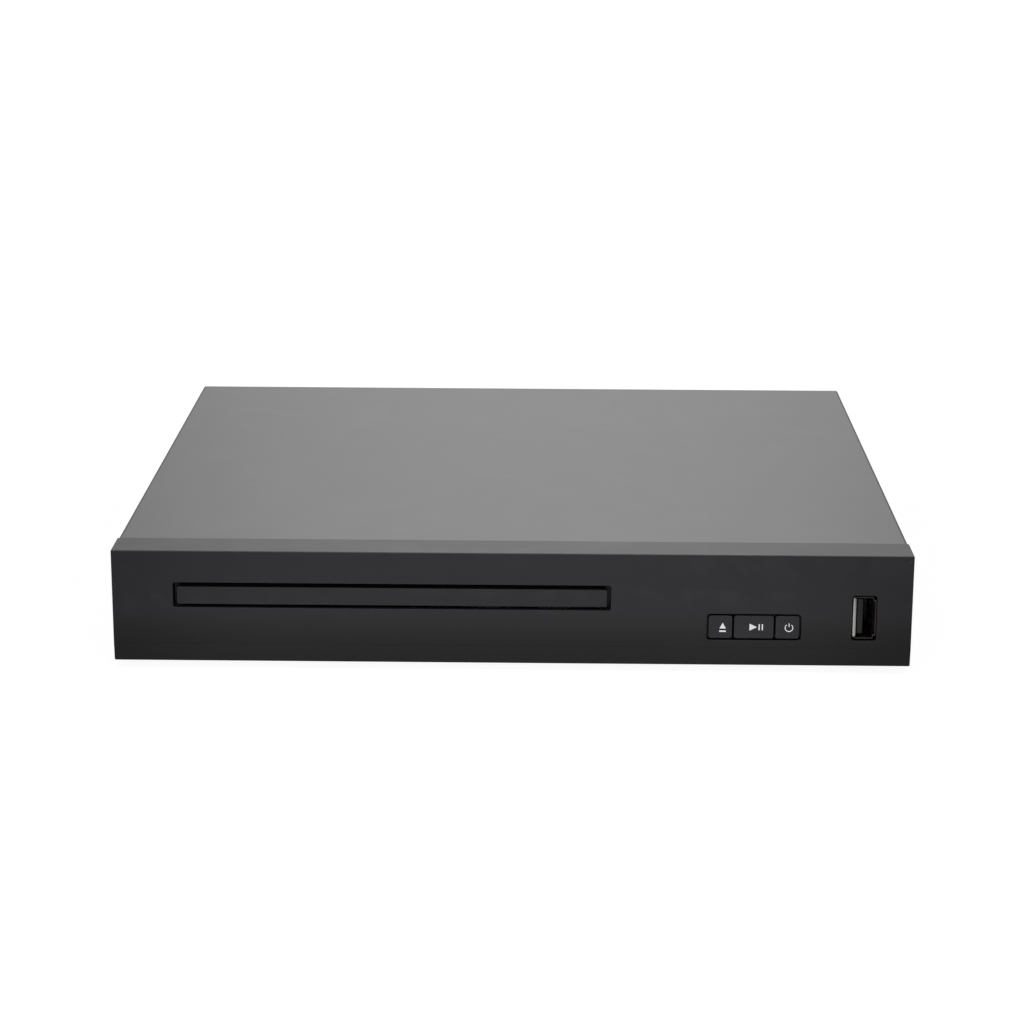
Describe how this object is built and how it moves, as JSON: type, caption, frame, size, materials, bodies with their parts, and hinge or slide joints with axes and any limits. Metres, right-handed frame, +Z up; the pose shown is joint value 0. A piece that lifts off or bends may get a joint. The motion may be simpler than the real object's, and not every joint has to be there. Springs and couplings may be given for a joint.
{
  "type": "disc player with tray",
  "caption": "Compact home disc player with a motor-driven front tray, three front buttons, a front USB socket and jacks on the back.",
  "frame": {"origin": "on the table under the middle of the player", "axes": "+X to the right seen from the front, +Y to the back, +Z up; the front face looks along -Y"},
  "size_m": [0.2422, 0.2292, 0.0372],
  "materials": {
    "zinc_sheet": "satin galvanised sheet",
    "painted_sheet": "satin black powder coat",
    "bezel_plastic": "fine-textured black plastic",
    "foot_rubber": "matte rubber",
    "black_screw": "black zinc",
    "button_plastic": "fine-textured black plastic",
    "stem_plastic": "moulded black plastic",
    "switch_body": "tinned steel frame",
    "green_board": "green solder mask",
    "ir_plastic": "dark infrared plastic",
    "dark_shell": "black nickel plate",
    "tongue_plastic": "black moulded plastic",
    "tray_plastic": "black moulded plastic",
    "loader_plastic": "moulded dark grey plastic",
    "zinc_screw": "zinc plated",
    "magnet_metal": "nickel plated magnet",
    "motor_can": "drawn steel can",
    "brass_part": "turned brass",
    "belt_rubber": "matte rubber",
    "gear_plastic": "natural acetal",
    "deck_plastic": "glass-filled grey plastic",
    "damper_rubber": "soft rubber",
    "motor_core": "stacked steel with windings",
    "polished_rod": "ground steel",
    "pickup_metal": "die-cast metal",
    "lens_glass": "coated lens in a black holder",
    "chip_black": "epoxy package",
    "capacitor_sleeve": "shrink sleeve",
    "tinned_steel": "bright nickel plate",
    "tan_board": "paper phenolic board",
    "ferrite_core": "ferrite core with taped winding",
    "raw_aluminium": "extruded aluminium",
    "film_plastic": "epoxy coated film",
    "inlet_plastic": "black moulded plastic",
    "nickel_pin": "nickel plated brass",
    "ribbon_film": "flat cable film",
    "wire_plastic": "coloured wire sleeves"
  },
  "bodies": {
    "case": {"bottom_chassis": "zinc_sheet", "chassis_walls": "zinc_sheet", "top_cover": "painted_sheet", "front_bezel": "bezel_plastic", "feet": "foot_rubber", "cover_screws": "black_screw", "tact_switches": "switch_body", "small_boards": "green_board", "ir_receiver": "ir_plastic", "usb_shell": "dark_shell", "usb_tongue": "tongue_plastic", "loader_frame": "loader_plastic", "inner_fixings": "zinc_screw", "clamp_bridge": "zinc_sheet", "loading_motor": "motor_can", "loading_belt": "belt_rubber", "main_board": "green_board", "main_chips": "chip_black", "capacitors": "capacitor_sleeve", "hdmi_socket": "tinned_steel", "phono_block": "stem_plastic", "phono_sleeves": "tinned_steel", "power_board": "tan_board", "transformer": "ferrite_core", "heat_sink": "raw_aluminium", "filter_parts": "film_plastic", "mains_inlet": "inlet_plastic", "inlet_pins": "nickel_pin", "front_ribbon": "ribbon_film", "pickup_ribbon": "ribbon_film", "power_wires": "wire_plastic"},
    "tray": {"disc_tray": "tray_plastic", "tray_door": "bezel_plastic"},
    "eject": {"eject_button": "button_plastic", "eject_stem": "stem_plastic"},
    "play": {"play_button": "button_plastic", "play_stem": "stem_plastic"},
    "power": {"power_button": "button_plastic", "power_stem": "stem_plastic"},
    "drive_wheel": {"drive_gear": "gear_plastic"},
    "belt_wheel": {"pulley_gear": "gear_plastic"},
    "motor_shaft": {"motor_pulley": "brass_part"},
    "cam": {"cam_slider": "gear_plastic"},
    "traverse": {"traverse_frame": "loader_plastic", "traverse_deck": "deck_plastic", "traverse_dampers": "damper_rubber", "traverse_screws": "zinc_screw", "spindle_motor": "motor_core", "guide_rods": "polished_rod", "sled_motor": "motor_can"},
    "spindle": {"spindle_rotor": "motor_can", "turntable": "loader_plastic", "turntable_mat": "damper_rubber"},
    "clamp": {"clamper": "loader_plastic", "clamper_cap": "loader_plastic", "clamper_magnet": "magnet_metal"},
    "pickup": {"optical_pickup": "pickup_metal"},
    "lens": {"objective_lens": "lens_glass"},
    "sled_wheel": {"sled_gear": "gear_plastic"},
    "sled_shaft": {"sled_pinion": "brass_part"}
  },
  "joints": [
    {"name": "tray_slide", "type": "slide", "parent": "case", "child": "tray", "axis": [0, -1, 0], "range_m": [0, 0.133]},
    {"name": "drive_gear_spin", "type": "hinge", "parent": "case", "child": "drive_wheel", "pos_m": [0.013, -0.0906, 0.0098], "axis": [0, 0, 1], "continuous": true},
    {"name": "pulley_gear_spin", "type": "hinge", "parent": "case", "child": "belt_wheel", "pos_m": [-0.0086, -0.0906, 0.0098], "axis": [0, 0, 1], "continuous": true},
    {"name": "motor_spin", "type": "hinge", "parent": "case", "child": "motor_shaft", "pos_m": [-0.048, -0.0916, 0.0172], "axis": [0, 0, 1], "continuous": true},
    {"name": "traverse_tilt", "type": "hinge", "parent": "case", "child": "traverse", "pos_m": [-0.036, 0.0484, 0.012], "axis": [1, 0, 0], "range_deg": [0, 3.08], "deforming": ["pickup_ribbon"]},
    {"name": "cam_slide", "type": "slide", "parent": "case", "child": "cam", "axis": [-1, 0, 0], "range_m": [0, 0.0202]},
    {"name": "turntable_spin", "type": "hinge", "parent": "traverse", "child": "spindle", "pos_m": [-0.036, -0.0466, 0.0247], "axis": [0, 0, 1], "continuous": true},
    {"name": "clamper_spin", "type": "hinge", "parent": "case", "child": "clamp", "pos_m": [-0.036, -0.0466, 0.0297], "axis": [0, 0, 1], "continuous": true},
    {"name": "pickup_slide", "type": "slide", "parent": "traverse", "child": "pickup", "axis": [0, 1, 0], "range_m": [0, 0.035], "deforming": ["pickup_ribbon"]},
    {"name": "sled_gear_spin", "type": "hinge", "parent": "traverse", "child": "sled_wheel", "pos_m": [0, 0.0024, 0.0167], "axis": [0, 0, 1], "continuous": true},
    {"name": "sled_pinion_spin", "type": "hinge", "parent": "traverse", "child": "sled_shaft", "pos_m": [0, 0.0124, 0.0167], "axis": [0, 0, 1], "continuous": true},
    {"name": "lens_focus", "type": "slide", "parent": "pickup", "child": "lens", "axis": [0, 0, 1], "range_m": [-0.0005, 0.0007], "stiffness_N_per_m": 40},
    {"name": "eject_press", "type": "slide", "parent": "case", "child": "eject", "axis": [0, 1, 0], "range_m": [0, 0.0006], "stiffness_N_per_m": 300, "springref_m": -0.001},
    {"name": "play_press", "type": "slide", "parent": "case", "child": "play", "axis": [0, 1, 0], "range_m": [0, 0.0006], "stiffness_N_per_m": 300, "springref_m": -0.001},
    {"name": "power_press", "type": "slide", "parent": "case", "child": "power", "axis": [0, 1, 0], "range_m": [0, 0.0006], "stiffness_N_per_m": 300, "springref_m": -0.001}
  ],
  "couplings": [
    {"joint": "drive_gear_spin", "follows": "tray_slide", "rad_per_m": -142.86},
    {"joint": "pulley_gear_spin", "follows": "tray_slide", "rad_per_m": 500},
    {"joint": "motor_spin", "follows": "tray_slide", "rad_per_m": 2000},
    {"joint": "cam_slide", "follows": "traverse_tilt", "m_per_rad": 0.37237},
    {"joint": "clamper_spin", "follows": "turntable_spin", "ratio": 1},
    {"joint": "sled_gear_spin", "follows": "pickup_slide", "rad_per_m": -333.33},
    {"joint": "sled_pinion_spin", "follows": "pickup_slide", "rad_per_m": 1000}
  ]
}
